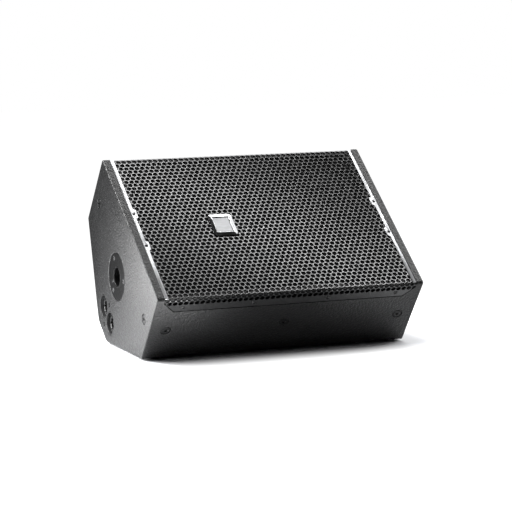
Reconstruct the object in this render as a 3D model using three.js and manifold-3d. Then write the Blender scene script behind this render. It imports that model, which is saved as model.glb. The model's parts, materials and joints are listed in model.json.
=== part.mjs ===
// Stage monitor wedge: a compact two-way 12-inch cabinet that lies on its floor facet with the
// grille sloping up at 37 degrees. Millimetres, +Z up, the sloping grille looks towards -Y, the
// connector end is at -X. The origin is at the bottom centre of the bounding box.
//
// Everything that belongs to the cabinet is built in the cabinet's own frame and then turned
// onto the floor facet: X runs along the length, Y up the slope of the grille, and Z out of the
// grille face. The outer face of the grille is Z = 0, so depth into the cabinet is negative Z.

import * as THREE from 'three';
import { mergeVertices } from 'three/addons/utils/BufferGeometryUtils.js';
import Module from 'manifold-3d';

const wasm = await Module();
wasm.setup();

// ---------------------------------------------------------------- driving dimensions
const LENGTH = 556;            // over the end panels
const FACE_HEIGHT = 396;       // up the slope of the grille face
const SIDE_DEPTH = 158;        // straight side walls behind the grille face
const DEPTH = 285;             // grille face to the narrow back
const REST_ANGLE = THREE.MathUtils.degToRad(37);   // slope of both rear facets
const PLY = 15;
const EDGE_PROUD = 2.5;        // the end panels stand proud of the grille
const EDGE_RADIUS = 4;         // rounding of the outline's front and side corners
const BACK_RADIUS = 28;        // rounding of the two back corners
const GAP = 0.3;               // clearance between neighbouring pieces

const SHEET = 1.5;             // grille steel
const BEND_RADIUS = 3;         // outside radius of the grille bends
const REBATE = 2;              // the grille flanges lie in rebates this deep
const FLANGE_DEPTH = 31;
const FLANGE_CORNER_DEPTH = 8; // where the 45 degree corner cut of a flange begins
const GRILLE_HALF_WIDTH = 262;
const RAIL = 1.2;              // thickness of the side rails that clamp the grille
const RAIL_SPAN = [255.5, 262.7];
const RAIL_SCREW_X = 257.5;
const RAIL_SCREW_SPREAD = 44.5;
const RAIL_EAR = { base: 27, tip: 20, reach: 5 };   // tapered ear beside each rail screw
const FITTINGS_Y = -6;         // badge and rail screws sit a little below the middle of the face
const FOAM = 6;
const BATTEN_WIDTH = 17.5;

const BAFFLE_SETBACK = 25;
const BAFFLE = 18;

const FOOT_HEIGHT = 3;
const FOOT_RADIUS = 12.5;
const FOOT_INSET = 24;

const BADGE_X = -86;
const BADGE_SIZE = [50, 58];
const BADGE_BEVEL = 7;         // width of the sloping rim
const BADGE_RECESS = [35, 43];
const BADGE_PLATE = [34, 40];
const BADGE_HEIGHT = 4.4;
const BADGE_EDGE = 2.2;        // upright part of the rim, under the slope
const BADGE_FLOOR = 1.4;       // floor of the recess, above the grille
const BADGE_PLATE_TOP = 2.6;   // the plate lies below the rim
const STUD_RADIUS = 3.5;

const POLE_DEPTH = 131;        // socket centre behind the grille face
const POLE_RADIUS = 18.2;      // bore for a 35 mm stand pole
const POLE_FLANGE_RADIUS = 47;
const POLE_SCREW_CIRCLE = 38;
const POLE_BORE_LENGTH = 82;

const SOCKET_DEPTH = 237;      // speaker sockets behind the grille face
const SOCKET_SPREAD = 24;      // each socket off the centre line
const SOCKET_OPENING = 24.5;
const DISH_SCREW_OFFSET = 27.5;

const M10_HEAD_RADIUS = 9;
const M10_HEAD_HEIGHT = 3.5;
const M10_END_POINTS = [[162, 85], [-162, 85]];        // [up the slope, depth]
const M10_SIDE_POINTS = [[-244, 83], [0, 83], [244, 83]];   // [along the length, depth]

const HANDLE_DEPTH = 120;      // handle centre behind the grille face
const HANDLE_OPENING = [150, 88];
const HANDLE_RECESS = 42;
const HANDLE_BAR_RADIUS = 10;

const WOOFER_X = -88;
const WOOFER_RIM = 153;
const WOOFER_CUTOUT = 141;
const HORN_X = 160;
const HORN_Y = 72;
const HORN_FLANGE = 164;
const PORT_X = [114, 190];
const PORT_Y = -96;
const PORT_RADIUS = 31;

// ---------------------------------------------------------------- derived dimensions
const HALF_LENGTH = LENGTH / 2;
const HALF_FACE = FACE_HEIGHT / 2;
const INNER_HALF = HALF_LENGTH - PLY;
const BACK_HALF = HALF_FACE - (DEPTH - SIDE_DEPTH) / Math.tan(REST_ANGLE);
const BAFFLE_FRONT = -BAFFLE_SETBACK;
const BAFFLE_BACK = BAFFLE_FRONT - BAFFLE;

// House-shaped outline in [up the slope, out of the face], counter-clockwise, with the radius
// of each corner.
const OUTLINE = [
  { at: [HALF_FACE, EDGE_PROUD], radius: EDGE_RADIUS },
  { at: [-HALF_FACE, EDGE_PROUD], radius: EDGE_RADIUS },
  { at: [-HALF_FACE, -SIDE_DEPTH], radius: EDGE_RADIUS },
  { at: [-BACK_HALF, -DEPTH], radius: BACK_RADIUS },
  { at: [BACK_HALF, -DEPTH], radius: BACK_RADIUS },
  { at: [HALF_FACE, -SIDE_DEPTH], radius: EDGE_RADIUS },
];

// ---------------------------------------------------------------- materials
function finish(color, roughness, metalness) {
  return () => new THREE.MeshStandardMaterial({ color, roughness, metalness });
}

const paint = finish(0x3a3c3e, 0.6, 0.0);
const bareWood = finish(0xb89468, 0.75, 0.0);
const blackSteel = finish(0x141414, 0.35, 0.4);
const zincSteel = finish(0x8d9094, 0.35, 0.9);
const brushedAluminium = finish(0xc8cacc, 0.3, 0.9);
const chromeTrim = finish(0xd8d8da, 0.12, 1.0);
const blackPlastic = finish(0x17181a, 0.5, 0.0);
const rubber = finish(0x101010, 0.85, 0.0);
const foam = finish(0x2b2c2e, 0.95, 0.0);
const ferrite = finish(0x2a2a2c, 0.7, 0.1);
const paper = finish(0x1c1c1c, 0.9, 0.0);
const copper = finish(0xb8703c, 0.35, 0.9);
const circuitBoard = finish(0x1f5a34, 0.5, 0.0);
const wadding = finish(0xdedbd2, 0.98, 0.0);

// ---------------------------------------------------------------- geometry helpers
const UP = new THREE.Matrix4().makeRotationX(Math.PI / 2);
const ALONG_LENGTH = new THREE.Matrix4().set(0, 0, 1, 0, 1, 0, 0, 0, 0, 1, 0, 0, 0, 0, 0, 1);

function polygon(points) {
  return new THREE.Shape(points.map(([x, y]) => new THREE.Vector2(x, y)));
}

// Points of the arc that rounds corner i of a closed outline, from one tangent to the other.
function cornerArc(outline, i, steps = 6) {
  const vector = (k) => new THREE.Vector2(...outline[(k + outline.length) % outline.length].at);
  const corner = vector(i);
  const radius = outline[i].radius;
  const before = vector(i - 1).sub(corner).normalize();
  const after = vector(i + 1).sub(corner).normalize();
  const half = before.angleTo(after) / 2;
  const centre = before.clone().add(after).normalize();
  centre.multiplyScalar(radius / Math.sin(half)).add(corner);
  const start = before.multiplyScalar(radius / Math.tan(half)).add(corner).sub(centre);
  const sweep = Math.PI - 2 * half;
  const arc = [];
  for (let k = 0; k <= steps; k += 1) {
    const turned = start.clone().rotateAround(new THREE.Vector2(), (sweep * k) / steps);
    arc.push([centre.x + turned.x, centre.y + turned.y]);
  }
  return arc;
}

function roundedOutline(outline, steps = 3) {
  return polygon(outline.flatMap((_, i) => cornerArc(outline, i, steps)));
}

function roundedRectangle(width, height, radius, centre = [0, 0]) {
  const corners = [[1, 1], [-1, 1], [-1, -1], [1, -1]];
  const outline = corners.map(([x, y]) => ({
    at: [centre[0] + (x * width) / 2, centre[1] + (y * height) / 2],
    radius,
  }));
  return roundedOutline(outline);
}

function regularPolygon(x, y, radius, sides) {
  return polygon(Array.from({ length: sides }, (_, k) => {
    const angle = (2 * Math.PI * k) / sides;
    return [x + radius * Math.cos(angle), y + radius * Math.sin(angle)];
  }));
}

function circle(x, y, radius) {
  return regularPolygon(x, y, radius, radius > 15 ? 32 : 12);
}

// Shape in XY pulled out along +Z from z = from to z = to.
function slab(shape, from, to) {
  const settings = { depth: to - from, bevelEnabled: false };
  return new THREE.ExtrudeGeometry(shape, settings).translate(0, 0, from);
}

// Shape drawn in [up the slope, out of the face], pulled along the length.
function lengthwise(shape, from, to) {
  return slab(shape, from, to).applyMatrix4(ALONG_LENGTH);
}

function box(from, to) {
  const size = to.map((value, axis) => value - from[axis]);
  const centre = to.map((value, axis) => (value + from[axis]) / 2);
  return new THREE.BoxGeometry(...size).translate(...centre);
}

// Solid of revolution about Z from a closed profile of [radius, z] points.
function turned(profile, segments = 24) {
  let area = 0;
  profile.forEach(([r, z], i) => {
    const [nextR, nextZ] = profile[(i + 1) % profile.length];
    area += r * nextZ - nextR * z;
  });
  const ordered = area > 0 ? profile : [...profile].reverse();
  const points = [...ordered, ordered[0]].map(([r, z]) => new THREE.Vector2(r, z));
  return new THREE.LatheGeometry(points, segments).applyMatrix4(UP);
}

// Solid disc or rod about Z.
function rod(radius, from, to, segments = 16) {
  const geometry = new THREE.CylinderGeometry(radius, radius, to - from, segments);
  return geometry.applyMatrix4(UP).translate(0, 0, (from + to) / 2);
}

function ring(inner, outer, from, to, segments = 24) {
  return turned([[inner, from], [outer, from], [outer, to], [inner, to]], segments);
}

function toSolid(geometry) {
  const bare = geometry.clone();
  bare.deleteAttribute('normal');
  bare.deleteAttribute('uv');
  const merged = mergeVertices(bare, 1e-4);
  const mesh = new wasm.Mesh({
    numProp: 3,
    vertProperties: new Float32Array(merged.attributes.position.array),
    triVerts: new Uint32Array(merged.index.array),
  });
  return new wasm.Manifold(mesh);
}

function toGeometry(solid) {
  const mesh = solid.getMesh();
  const geometry = new THREE.BufferGeometry();
  geometry.setAttribute('position', new THREE.BufferAttribute(mesh.vertProperties, 3));
  geometry.setIndex(new THREE.BufferAttribute(mesh.triVerts, 1));
  geometry.computeVertexNormals();
  return geometry;
}

function cut(geometry, ...tools) {
  return toGeometry(tools.reduce((solid, tool) => solid.subtract(toSolid(tool)), toSolid(geometry)));
}

function join(geometry, ...others) {
  return toGeometry(others.reduce((solid, other) => solid.add(toSolid(other)), toSolid(geometry)));
}

function piece(name, geometry, material, position = [0, 0, 0]) {
  const mesh = new THREE.Mesh(geometry, material());
  mesh.name = name;
  mesh.position.set(...position);
  return mesh;
}

function group(position, rotation, ...children) {
  const result = new THREE.Group();
  result.position.set(...position);
  result.rotation.set(...rotation);
  result.add(...children);
  return result;
}

// Turn that makes a piece's own +Z look out of the left end, with its +X up the slope.
const OUT_OF_LEFT_END = [0, -Math.PI / 2, Math.PI / 2];

function leftEndPlace(height, depth, x = -HALF_LENGTH) {
  return [x, height, -depth];
}

// ---------------------------------------------------------------- cabinet woodwork
function endPanel(name, side) {
  const holes = side < 0 ? leftEndHoles() : rightEndHoles();
  const shape = roundedOutline(OUTLINE, 6);
  const panel = lengthwise(shape, -PLY / 2, PLY / 2);
  const centre = side * (HALF_LENGTH - PLY / 2);
  return piece(name, cut(panel, ...holes), paint, [centre, 0, 0]);
}

// Cutting tool through an end panel: side is -1 when it opens to the left, depth is how far it
// goes in from the outer face.
function endTool(side, shape, depth) {
  const outer = side * (PLY / 2 + 1);
  const inner = side * (PLY / 2 - depth);
  return lengthwise(shape, Math.min(outer, inner), Math.max(outer, inner));
}

function leftEndHoles() {
  const through = PLY + 1;
  const tools = [
    endTool(-1, circle(0, -POLE_DEPTH, POLE_FLANGE_RADIUS + 0.8), 3.2),
    endTool(-1, circle(0, -POLE_DEPTH, 24), through),
    endTool(-1, circle(SOCKET_SPREAD, -SOCKET_DEPTH, SOCKET_OPENING), through),
    endTool(-1, circle(-SOCKET_SPREAD, -SOCKET_DEPTH, SOCKET_OPENING), through),
  ];
  for (const offset of [-DISH_SCREW_OFFSET, DISH_SCREW_OFFSET]) {
    tools.push(endTool(-1, circle(0, -SOCKET_DEPTH + offset, 4.6), 3));
    tools.push(endTool(-1, circle(0, -SOCKET_DEPTH + offset, 2.3), through));
  }
  for (const angle of poleScrewAngles()) {
    const y = POLE_SCREW_CIRCLE * Math.sin(angle);
    const z = -POLE_DEPTH + POLE_SCREW_CIRCLE * Math.cos(angle);
    tools.push(endTool(-1, circle(y, z, 2.4), through));
  }
  for (const [height, depth] of M10_END_POINTS) {
    tools.push(endTool(-1, circle(height, -depth, M10_HEAD_RADIUS + 0.6), M10_HEAD_HEIGHT + GAP));
    tools.push(endTool(-1, circle(height, -depth, 5.3), through));
  }
  return tools;
}

function rightEndHoles() {
  const [length, width] = HANDLE_OPENING;
  const around = (margin, radius) =>
    roundedRectangle(length + margin, width + margin, radius, [0, -HANDLE_DEPTH]);
  return [endTool(1, around(27, 20), 3.2), endTool(1, around(5.6, 14), PLY + 1)];
}

// Point inside the outline's corner i, one ply in from both walls.
function innerCorner(i, inset = PLY) {
  const count = OUTLINE.length;
  const vector = (k) => new THREE.Vector2(...OUTLINE[(k + count) % count].at);
  const corner = vector(i);
  const before = vector(i - 1).sub(corner).normalize();
  const after = vector(i + 1).sub(corner).normalize();
  const half = before.angleTo(after) / 2;
  const inwards = before.add(after).normalize().multiplyScalar(inset / Math.sin(half));
  return [corner.x + inwards.x, corner.y + inwards.y];
}

// Cross-section of the wall between corners i and i + 1, mitred to its neighbours.
function wallSection(i) {
  const next = (i + 1) % OUTLINE.length;
  const from = new THREE.Vector2(...OUTLINE[i].at);
  const along = new THREE.Vector2(...OUTLINE[next].at).sub(from).normalize().multiplyScalar(GAP / 2);
  const shift = (sign) => ([y, z]) => [y + sign * along.x, z + sign * along.y];
  const leaving = cornerArc(OUTLINE, i).slice(3);
  const arriving = cornerArc(OUTLINE, next).slice(0, 4);
  return polygon([
    ...[innerCorner(i), ...leaving].map(shift(1)),
    ...[...arriving, innerCorner(next)].map(shift(-1)),
  ]);
}

function wall(i) {
  return lengthwise(wallSection(i), -INNER_HALF + GAP, INNER_HALF - GAP);
}

// Side wall: square front edge behind the grille, with a rebate for the grille's flange.
function sidePanel(name, side) {
  const mitre = side < 0 ? 2 : 5;
  const arc = cornerArc(OUTLINE, mitre);
  const rounded = side < 0 ? arc.slice(0, 4) : arc.slice(3).reverse();
  const back = [...rounded, innerCorner(mitre)].map(([y, z]) => [y, z + GAP / 2]);
  const front = [[side * (HALF_FACE - PLY), -REBATE], [side * HALF_FACE, -REBATE]];
  const section = polygon([...front, ...back]);
  const board = lengthwise(section, -INNER_HALF + GAP, INNER_HALF - GAP);
  const tools = [flangeBlock(side, 1, HALF_FACE - REBATE, HALF_FACE + 2)];
  if (side < 0) {
    for (const [x, depth] of M10_SIDE_POINTS) {
      const place = (geometry) => geometry.rotateX(Math.PI / 2).translate(x, -HALF_FACE, -depth);
      tools.push(place(rod(M10_HEAD_RADIUS + 0.6, -M10_HEAD_HEIGHT - GAP, 1)));
      tools.push(place(rod(5.3, -PLY - 1, 0)));
    }
  }
  return piece(name, cut(board, ...tools), paint);
}

// Block over one side wall with the outline of a grille flange, grown by a margin.
function flangeBlock(side, grow, from, to) {
  const half = GRILLE_HALF_WIDTH + grow;
  const bottom = FLANGE_DEPTH + grow;
  const corner = FLANGE_CORNER_DEPTH + grow * Math.tan(Math.PI / 8);
  const run = bottom - corner;
  const shape = polygon([
    [-half, 3], [-half, -corner], [-half + run, -bottom],
    [half - run, -bottom], [half, -corner], [half, 3],
  ]);
  const block = slab(shape, 0, to - from).applyMatrix4(UP);
  return block.translate(0, side > 0 ? to : -from, 0);
}

function baffle() {
  const half = [INNER_HALF - GAP, HALF_FACE - PLY - GAP];
  const shape = polygon([[-half[0], -half[1]], [half[0], -half[1]], half, [-half[0], half[1]]]);
  shape.holes.push(circle(WOOFER_X, 0, WOOFER_CUTOUT));
  const horn = roundedRectangle(HORN_FLANGE - 12, HORN_FLANGE - 32, 4).getPoints();
  shape.holes.push(new THREE.Path(horn.map((p) => p.add(new THREE.Vector2(HORN_X, HORN_Y)))));
  for (const x of PORT_X) {
    shape.holes.push(circle(x, PORT_Y, PORT_RADIUS + GAP));
  }
  return piece('baffle_board', slab(shape, BAFFLE_BACK, BAFFLE_FRONT), bareWood);
}

function battens() {
  const top = HALF_FACE - PLY - GAP;
  return [['left', -1], ['right', 1]].map(([name, side]) => {
    const edges = [side * (INNER_HALF - GAP), side * (INNER_HALF - BATTEN_WIDTH)];
    const low = [Math.min(...edges), -top, BAFFLE_FRONT + GAP];
    const high = [Math.max(...edges), top, -SHEET - GAP];
    const holes = railScrewPlaces(side).map(([x, y]) => screwHole(x, y));
    return piece(`grille_batten_${name}`, cut(box(low, high), ...holes), bareWood);
  });
}

function screwHole(x, y) {
  return rod(2.3, -20, 5, 12).translate(x, y, 0);
}

function cabinet() {
  return [
    endPanel('end_panel_left', -1),
    endPanel('end_panel_right', 1),
    sidePanel('lower_side_panel', -1),
    sidePanel('upper_side_panel', 1),
    piece('floor_panel', wall(2), paint),
    piece('back_panel', wall(3), paint),
    piece('rear_panel', wall(4), paint),
    baffle(),
    ...battens(),
  ];
}

// ---------------------------------------------------------------- grille
// Cross-section of the bent sheet: the face with a flange turned down at each end.
function grilleSection() {
  const bend = (radius, side) => {
    const centre = [side * (HALF_FACE - BEND_RADIUS), -BEND_RADIUS];
    return [0, 1, 2, 3].map((k) => {
      const angle = Math.PI / 2 - (side * k * Math.PI) / 6;
      return [centre[0] + radius * Math.cos(angle), centre[1] + radius * Math.sin(angle)];
    });
  };
  const inside = BEND_RADIUS - SHEET;
  return polygon([
    [HALF_FACE - SHEET, -FLANGE_DEPTH],
    [HALF_FACE, -FLANGE_DEPTH],
    ...bend(BEND_RADIUS, 1).reverse(),
    ...bend(BEND_RADIUS, -1),
    [-HALF_FACE, -FLANGE_DEPTH],
    [-HALF_FACE + SHEET, -FLANGE_DEPTH],
    ...bend(inside, -1).reverse(),
    ...bend(inside, 1),
  ]);
}

// Wedge that takes one corner off both flanges at 45 degrees.
function cornerCut(side) {
  const half = GRILLE_HALF_WIDTH;
  const run = FLANGE_DEPTH - FLANGE_CORNER_DEPTH;
  const shape = polygon([
    [half + 5, -FLANGE_CORNER_DEPTH + 5],
    [half - run - 5, -FLANGE_DEPTH - 5],
    [half + 5, -FLANGE_DEPTH - 5],
  ]);
  const wedge = slab(shape, -HALF_FACE - 5, HALF_FACE + 5).applyMatrix4(UP);
  return side > 0 ? wedge : wedge.rotateZ(Math.PI);
}

function grille() {
  const sheet = lengthwise(grilleSection(), -GRILLE_HALF_WIDTH, GRILLE_HALF_WIDTH);
  const studHole = rod(STUD_RADIUS + 0.4, -10, 5).translate(BADGE_X, FITTINGS_Y, 0);
  const screwHoles = [-1, 1].flatMap(railScrewPlaces).map(([x, y]) => screwHole(x, y));
  const holes = [studHole, ...screwHoles];
  const foamHalf = INNER_HALF - BATTEN_WIDTH - GAP;
  const foamTop = HALF_FACE - PLY - GAP;
  const back = -SHEET - GAP;
  const foamSheet = box([-foamHalf, -foamTop, back - FOAM], [foamHalf, foamTop, back]);
  const nutSpace = rod(9, -20, 5).translate(BADGE_X, FITTINGS_Y, 0);
  return [
    piece('grille', cut(sheet, cornerCut(-1), cornerCut(1), ...holes), blackSteel),
    piece('grille_foam', cut(foamSheet, nutSpace), foam),
    ...rails(),
    ...railScrews(),
  ];
}

// Outline of a rail: a flat strip with a tapered ear beside each screw.
function railOutline(side) {
  const [inner, outer] = RAIL_SPAN;
  const end = HALF_FACE - BEND_RADIUS;
  const { base, tip, reach } = RAIL_EAR;
  const ears = railScrewPlaces(side).flatMap(([, y]) => [
    [inner, y + base / 2], [inner - reach, y + tip / 2],
    [inner - reach, y - tip / 2], [inner, y - base / 2],
  ]);
  const outline = [[outer, -end], [outer, end], [inner, end], ...ears, [inner, -end]];
  return polygon(outline.map(([x, y]) => [side * x, y]));
}

function rails() {
  return [['left', -1], ['right', 1]].map(([name, side]) => {
    const holes = railScrewPlaces(side).map(([x, y]) => rod(3, -1, 5, 12).translate(x, y, 0));
    const strip = cut(slab(railOutline(side), GAP, GAP + RAIL), ...holes);
    return piece(`grille_rail_${name}`, strip, chromeTrim);
  });
}

// The two screw places of one rail, upper one first.
function railScrewPlaces(side) {
  return [1, -1].map((end) => [side * RAIL_SCREW_X, FITTINGS_Y + end * RAIL_SCREW_SPREAD]);
}

function railScrews() {
  const profile = [
    [0, -19], [2, -17.5], [2, 0.2], [2.7, 0.5], [2.7, 0.9], [2.2, 1.2], [0, 1.2],
  ];
  return [-1, 1].flatMap(railScrewPlaces).map(([x, y], i) =>
    piece(`rail_screw_${i + 1}`, turned(profile, 12), blackSteel, [x, y, 0]));
}

// Rectangle with a short upright edge at the grille and a rim that slopes up from there.
function bezelBlank() {
  const [width, height] = BADGE_SIZE.map((size) => size - 2 * BADGE_BEVEL);
  const blank = new THREE.ExtrudeGeometry(roundedRectangle(width, height, 1), {
    depth: BADGE_EDGE,
    bevelSegments: 1,
    bevelSize: BADGE_BEVEL,
    bevelThickness: BADGE_HEIGHT - GAP - BADGE_EDGE,
  }).translate(0, 0, GAP);
  const below = box([-width, -height, -BADGE_HEIGHT], [width, height, GAP]);
  return cut(blank, below);
}

// Badge that turns on its stud, so that it reads upright with the cabinet lying or standing.
function badge() {
  const recess = slab(roundedRectangle(...BADGE_RECESS, 1), BADGE_FLOOR, BADGE_HEIGHT + 1);
  const plateShape = roundedRectangle(...BADGE_PLATE, 1);
  const plate = slab(plateShape, BADGE_FLOOR + GAP, BADGE_PLATE_TOP);
  const stud = rod(STUD_RADIUS, -12, 1);
  const hexagon = regularPolygon(0, 0, 7.5, 6);
  hexagon.holes.push(circle(0, 0, STUD_RADIUS + GAP));
  const nut = slab(hexagon, -SHEET - GAP - 4, -SHEET - GAP);
  return group(
    [BADGE_X, FITTINGS_Y, 0], [0, 0, 0],
    piece('badge_bezel', cut(join(bezelBlank(), stud), recess), chromeTrim),
    piece('badge_plate', plate, brushedAluminium),
    piece('badge_nut', nut, zincSteel),
  );
}

// ---------------------------------------------------------------- left end fittings
function poleScrewAngles() {
  return [60, 180, 300].map(THREE.MathUtils.degToRad);
}

// Steel flange plate with a welded tube, closed at its inner end.
function poleSocket() {
  const top = -0.7;
  const plate = 2.2;
  const tube = POLE_RADIUS + 3;
  const end = -POLE_BORE_LENGTH;
  const profile = [
    [0, end - 3], [tube, end - 3], [tube, top - plate], [POLE_FLANGE_RADIUS, top - plate],
    [POLE_FLANGE_RADIUS, top], [POLE_RADIUS + 2, top], [POLE_RADIUS, top - 2],
    [POLE_RADIUS, end], [0, end],
  ];
  const places = poleScrewAngles().map((angle) => [
    POLE_SCREW_CIRCLE * Math.sin(angle), -POLE_SCREW_CIRCLE * Math.cos(angle),
  ]);
  const sink = [[0, -4], [2.6, -4], [2.6, top - 2.2], [5.4, top + 0.4], [0, top + 0.4]];
  const holes = places.map(([x, y]) => turned(sink, 12).translate(x, y, 0));
  const screw = [[0, -20], [2.1, -18], [2.1, top - 2.1], [4.4, top - 0.1], [0, top - 0.1]];
  const screws = places.map(([x, y], i) =>
    piece(`pole_socket_screw_${i + 1}`, turned(screw, 12), zincSteel, [x, y, 0]));
  return group(
    leftEndPlace(0, POLE_DEPTH), OUT_OF_LEFT_END,
    piece('pole_socket', cut(turned(profile, 32), ...holes), blackSteel),
    ...screws,
  );
}

// Plastic dish behind the panel, with two round cups that reach out through its openings.
function inputDish() {
  const inner = -PLY - GAP;
  const cupOuter = SOCKET_OPENING - GAP;
  const bar = box([-9, -33, inner - 2.5], [9, 33, inner]);
  const parts = [];
  const tools = [];
  for (const side of [-1, 1]) {
    const x = side * SOCKET_SPREAD;
    parts.push(rod(cupOuter, inner - 2.5, -0.6, 24).translate(x, 0, 0));
    parts.push(rod(SOCKET_OPENING + 1.4, inner - 2.5, inner, 24).translate(x, 0, 0));
    tools.push(rod(cupOuter - 2.2, -9, 5, 24).translate(x, 0, 0));
    tools.push(rod(13.4, -30, 0, 24).translate(x, 0, 0));
    tools.push(rod(1.9, -30, 0, 12).translate(0, side * DISH_SCREW_OFFSET, 0));
  }
  const screw = [[0, -20], [1.6, -18.5], [1.6, -2.5], [4, -2.5], [3.6, -1], [0, -0.6]];
  const screws = [-1, 1].map((side, i) => {
    const place = [0, side * DISH_SCREW_OFFSET, 0];
    return piece(`input_dish_screw_${i + 1}`, turned(screw, 12), blackSteel, place);
  });
  const sockets = [-1, 1].map((side, i) => {
    const profile = [
      [0, -34], [13, -34], [13, -8.6], [16.5, -8.6], [16.5, -6.6], [13.6, -5.6], [11.4, -5.6],
      [11.4, -22], [6.2, -22], [6.2, -7.5], [4.8, -6.2], [0, -6.2],
    ];
    const place = [-side * SOCKET_SPREAD, 0, 0];
    return piece(`speaker_socket_${i + 1}`, turned(profile, 24), blackPlastic, place);
  });
  return group(
    leftEndPlace(0, SOCKET_DEPTH), OUT_OF_LEFT_END,
    piece('input_dish', cut(join(bar, ...parts), ...tools), blackPlastic),
    ...screws,
    ...sockets,
  );
}

// Plug screw of an M10 suspension point, with its own +Z out of the panel.
function m10Screw(name, position, rotation) {
  const head = M10_HEAD_RADIUS;
  const profile = [
    [0, -30], [4.9, -30], [4.9, -M10_HEAD_HEIGHT], [head, -M10_HEAD_HEIGHT], [head, -1.6],
    [head - 3, -0.4], [0, -0.4],
  ];
  const socket = new THREE.CylinderGeometry(3.5, 3.5, 5, 6).applyMatrix4(UP);
  const screw = cut(turned(profile, 16), socket);
  return group(position, rotation, piece(name, screw, blackSteel));
}

function m10Screws() {
  const ends = M10_END_POINTS.map(([height, depth], i) =>
    m10Screw(`m10_screw_left_${i + 1}`, leftEndPlace(height, depth), OUT_OF_LEFT_END));
  const fronts = M10_SIDE_POINTS.map(([x, depth], i) =>
    m10Screw(`m10_screw_front_${i + 1}`, [x, -HALF_FACE, -depth], [Math.PI / 2, 0, 0]));
  return [...ends, ...fronts];
}

// ---------------------------------------------------------------- handle in the right end
function handle() {
  const [length, width] = HANDLE_OPENING;
  const walls = slab(roundedRectangle(length + 5, width + 5, 13.5), -HANDLE_RECESS - 2.5, -0.8);
  const flange = slab(roundedRectangle(length + 25, width + 25, 19), -2.9, -0.8);
  const pocket = slab(roundedRectangle(length, width, 11), -HANDLE_RECESS, 1);
  const bar = new THREE.CapsuleGeometry(HANDLE_BAR_RADIUS, length - 0.6 - 2 * HANDLE_BAR_RADIUS, 3, 16);
  bar.rotateZ(Math.PI / 2);
  return group(
    [HALF_LENGTH, 0, -HANDLE_DEPTH], [0, Math.PI / 2, Math.PI / 2],
    piece('handle_cup', cut(join(walls, flange), pocket), blackPlastic),
    piece('handle_bar', bar, rubber, [0, 0, -HANDLE_BAR_RADIUS - 4]),
  );
}

// ---------------------------------------------------------------- woofer
function basket() {
  const profile = [
    [WOOFER_RIM, 0], [WOOFER_RIM, 3], [136, 3], [136, -8], [80, -72], [80, -80], [48, -80], [48, -84],
    [84, -84], [84, -73], [139.5, -9.5], [139.5, 0],
  ];
  const windows = [0, 1, 2].map((k) => {
    const slot = box([-150, -26, -66], [150, 26, -17]);
    return slot.rotateZ((k * Math.PI) / 3);
  });
  return cut(turned(profile, 32), ...windows);
}

function surround() {
  const roll = (radius) => [0, 1, 2, 3, 4].map((k) => {
    const angle = (k * Math.PI) / 4;
    return [131.8 + radius * Math.cos(angle), 3.3 + radius * Math.sin(angle)];
  });
  return turned([
    [WOOFER_RIM - 1, 3.3], [WOOFER_RIM - 1, 4.5], ...roll(6.9),
    [124.9, -4], [126.1, -4], ...roll(5.7).reverse(),
  ]);
}

function spider() {
  const wave = [0, 1, 2, 3, 4, 5].map((k) => [39.4 + 8 * k, k % 2 === 0 ? -76 : -73.4]);
  const lower = wave.map(([r, z]) => [r, z - 0.8]);
  return turned([...wave, ...lower.reverse()]);
}

function dustCap() {
  const dome = (offset) => [0, 1, 2, 3, 4].map((k) => {
    const angle = (k * Math.PI) / 8;
    return [47 * Math.sin(angle), -30 + 12 * Math.cos(angle) + offset];
  });
  return turned([...dome(0), ...dome(-0.9).reverse()]);
}

function woofer() {
  return group(
    [WOOFER_X, 0, BAFFLE_FRONT + GAP], [0, 0, 0],
    piece('woofer_basket', basket(), blackSteel),
    piece('woofer_surround', surround(), rubber),
    piece('woofer_cone', turned([[39.3, -36], [124, -6], [124, -4.4], [39.3, -34]]), paper),
    piece('woofer_dust_cap', dustCap(), paper),
    piece('woofer_voice_coil', ring(37.2, 38.6, -100, -34.5), copper),
    piece('woofer_spider', spider(), paper),
    piece('woofer_top_plate', ring(39.6, 70, -92, -84.3), zincSteel),
    piece('woofer_magnet', ring(46, 78, -112.6, -92.3), ferrite),
    piece('woofer_yoke', turned([
      [12, -123], [72, -123], [72, -112.9], [36.2, -112.9], [36.2, -84.5], [12, -84.5],
    ]), zincSteel),
  );
}

// ---------------------------------------------------------------- horn and driver
// Square horn that flares from the driver's throat to its mouth.
function horn() {
  const depth = 105;
  const wallSteps = [0, 1, 2, 3, 4, 5];
  const flare = (half) => wallSteps.map((k) => {
    const reach = k / 5;
    return [Math.SQRT2 * (half + 56 * reach ** 1.8), -depth + depth * reach];
  });
  const outer = flare(17);
  const inner = flare(14).reverse();
  const shell = turned([...outer, ...inner], 4).rotateZ(Math.PI / 4);
  shell.scale(1, 0.85, 1);
  const plate = slab(roundedRectangle(HORN_FLANGE, HORN_FLANGE - 20, 6), 0, 4);
  const mouth = box([-69.5, -59, -3], [69.5, 59, 6]);
  const throatPlate = rod(46, -depth - 6, -depth + 2, 24);
  const throat = rod(12.5, -depth - 10, -depth + 5);
  return cut(join(shell, plate, throatPlate), mouth, throat);
}

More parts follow.
